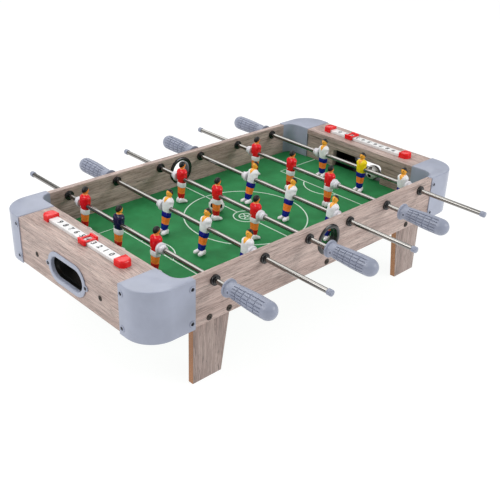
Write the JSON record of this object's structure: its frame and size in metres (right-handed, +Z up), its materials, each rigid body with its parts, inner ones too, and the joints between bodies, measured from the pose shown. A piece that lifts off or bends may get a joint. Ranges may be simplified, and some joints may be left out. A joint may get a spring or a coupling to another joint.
{
  "type": "tabletop foosball game",
  "caption": "Tabletop football game: a wooden box on short legs with sliding, turning rods of players, goals, ball return openings and score counters.",
  "frame": {"origin": "in the plane of the leg soles, under the middle of the playing field", "axes": "+X along the table from the left goal to the right goal, +Y across it towards the far side, +Z up"},
  "size_m": [0.6958, 0.5965, 0.1937],
  "materials": {
    "oak_board": "printed weathered oak, matt",
    "board_core": "raw fibreboard",
    "grey_plastic": "satin moulded",
    "handle_plastic": "satin moulded",
    "field_green": "printed board, satin",
    "black_plastic": "moulded",
    "tray_black": "matt",
    "rod_steel": "plated tube",
    "fastener_steel": "blackened",
    "score_red": "glossy",
    "score_white": "printed",
    "red_team": "painted",
    "white_team": "painted",
    "bumper_rubber": "soft",
    "ball_white": "printed"
  },
  "bodies": {
    "table": {"playfield": "field_green", "field_support": "board_core", "side_panel_near": "oak_board", "side_panel_far": "oak_board", "end_panel_left": "oak_board", "end_panel_right": "oak_board", "goal_panel_left": "oak_board", "goal_panel_right": "oak_board", "shelf_left": "oak_board", "shelf_right": "oak_board", "return_frames": "grey_plastic", "ball_trays": "tray_black", "ball_entry_rings": "black_plastic", "rod_bushings": "black_plastic", "panel_bolts": "fastener_steel", "trim_screws": "fastener_steel", "score_strips": "score_white", "score_stops": "score_red", "corner_cap_near_left": "grey_plastic", "leg_near_left": "oak_board", "corner_cap_near_right": "grey_plastic", "leg_near_right": "oak_board", "corner_cap_far_left": "grey_plastic", "leg_far_left": "oak_board", "corner_cap_far_right": "grey_plastic", "leg_far_right": "oak_board"},
    "score_marker_left": {"score_marker_left": "score_red"},
    "score_marker_right": {"score_marker_right": "score_red"},
    "field_ball": {"field_ball": "ball_white"},
    "goal_ball": {"goal_ball": "ball_white"},
    "rod_1_bumpers": {"bumpers_1": "bumper_rubber"},
    "rod_1_set": {"rod_1": "rod_steel", "handle_1": "handle_plastic", "rod_fittings_1": "fastener_steel", "figures_1": "red_team"},
    "rod_2_bumpers": {"bumpers_2": "bumper_rubber"},
    "rod_2_set": {"rod_2": "rod_steel", "handle_2": "handle_plastic", "rod_fittings_2": "fastener_steel", "figures_2": "white_team"},
    "rod_3_bumpers": {"bumpers_3": "bumper_rubber"},
    "rod_3_set": {"rod_3": "rod_steel", "handle_3": "handle_plastic", "rod_fittings_3": "fastener_steel", "figures_3": "red_team"},
    "rod_4_bumpers": {"bumpers_4": "bumper_rubber"},
    "rod_4_set": {"rod_4": "rod_steel", "handle_4": "handle_plastic", "rod_fittings_4": "fastener_steel", "figures_4": "white_team"},
    "rod_5_bumpers": {"bumpers_5": "bumper_rubber"},
    "rod_5_set": {"rod_5": "rod_steel", "handle_5": "handle_plastic", "rod_fittings_5": "fastener_steel", "figures_5": "red_team"},
    "rod_6_bumpers": {"bumpers_6": "bumper_rubber"},
    "rod_6_set": {"rod_6": "rod_steel", "handle_6": "handle_plastic", "rod_fittings_6": "fastener_steel", "figures_6": "white_team"}
  },
  "joints": [
    {"name": "rod_1_slide", "type": "slide", "parent": "table", "child": "rod_1_bumpers", "axis": [0, 1, 0], "range_m": [-0.091, 0.021]},
    {"name": "rod_1_spin", "type": "hinge", "parent": "rod_1_bumpers", "child": "rod_1_set", "pos_m": [-0.23125, 0.035, 0.1645], "axis": [0, 1, 0], "continuous": true},
    {"name": "rod_2_slide", "type": "slide", "parent": "table", "child": "rod_2_bumpers", "axis": [0, 1, 0], "range_m": [-0.0005, 0.1115]},
    {"name": "rod_2_spin", "type": "hinge", "parent": "rod_2_bumpers", "child": "rod_2_set", "pos_m": [-0.13875, -0.0555, 0.1645], "axis": [0, 1, 0], "continuous": true},
    {"name": "rod_3_slide", "type": "slide", "parent": "table", "child": "rod_3_bumpers", "axis": [0, 1, 0], "range_m": [-0.078, 0.034]},
    {"name": "rod_3_spin", "type": "hinge", "parent": "rod_3_bumpers", "child": "rod_3_set", "pos_m": [-0.04625, 0.022, 0.1645], "axis": [0, 1, 0], "continuous": true},
    {"name": "rod_4_slide", "type": "slide", "parent": "table", "child": "rod_4_bumpers", "axis": [0, 1, 0], "range_m": [-0.0005, 0.1115]},
    {"name": "rod_4_spin", "type": "hinge", "parent": "rod_4_bumpers", "child": "rod_4_set", "pos_m": [0.04625, -0.0555, 0.1645], "axis": [0, 1, 0], "continuous": true},
    {"name": "rod_5_slide", "type": "slide", "parent": "table", "child": "rod_5_bumpers", "axis": [0, 1, 0], "range_m": [-0.0865, 0.0255]},
    {"name": "rod_5_spin", "type": "hinge", "parent": "rod_5_bumpers", "child": "rod_5_set", "pos_m": [0.13875, 0.0305, 0.1645], "axis": [0, 1, 0], "continuous": true},
    {"name": "rod_6_slide", "type": "slide", "parent": "table", "child": "rod_6_bumpers", "axis": [0, 1, 0], "range_m": [-0.0005, 0.1115]},
    {"name": "rod_6_spin", "type": "hinge", "parent": "rod_6_bumpers", "child": "rod_6_set", "pos_m": [0.23125, -0.0555, 0.1645], "axis": [0, 1, 0], "continuous": true},
    {"name": "score_left_slide", "type": "slide", "parent": "table", "child": "score_marker_left", "axis": [0, 1, 0], "range_m": [-0.0572, 0.0715]},
    {"name": "score_right_slide", "type": "slide", "parent": "table", "child": "score_marker_right", "axis": [0, 1, 0], "range_m": [-0.1001, 0.0286]},
    {"name": "field_ball_roll", "type": "slide", "parent": "table", "child": "field_ball", "axis": [0, 1, 0], "range_m": [-0.1985, 0.1115]},
    {"name": "goal_ball_roll", "type": "slide", "parent": "table", "child": "goal_ball", "axis": [1, 0, 0], "range_m": [-0.03, 0.024]}
  ]
}
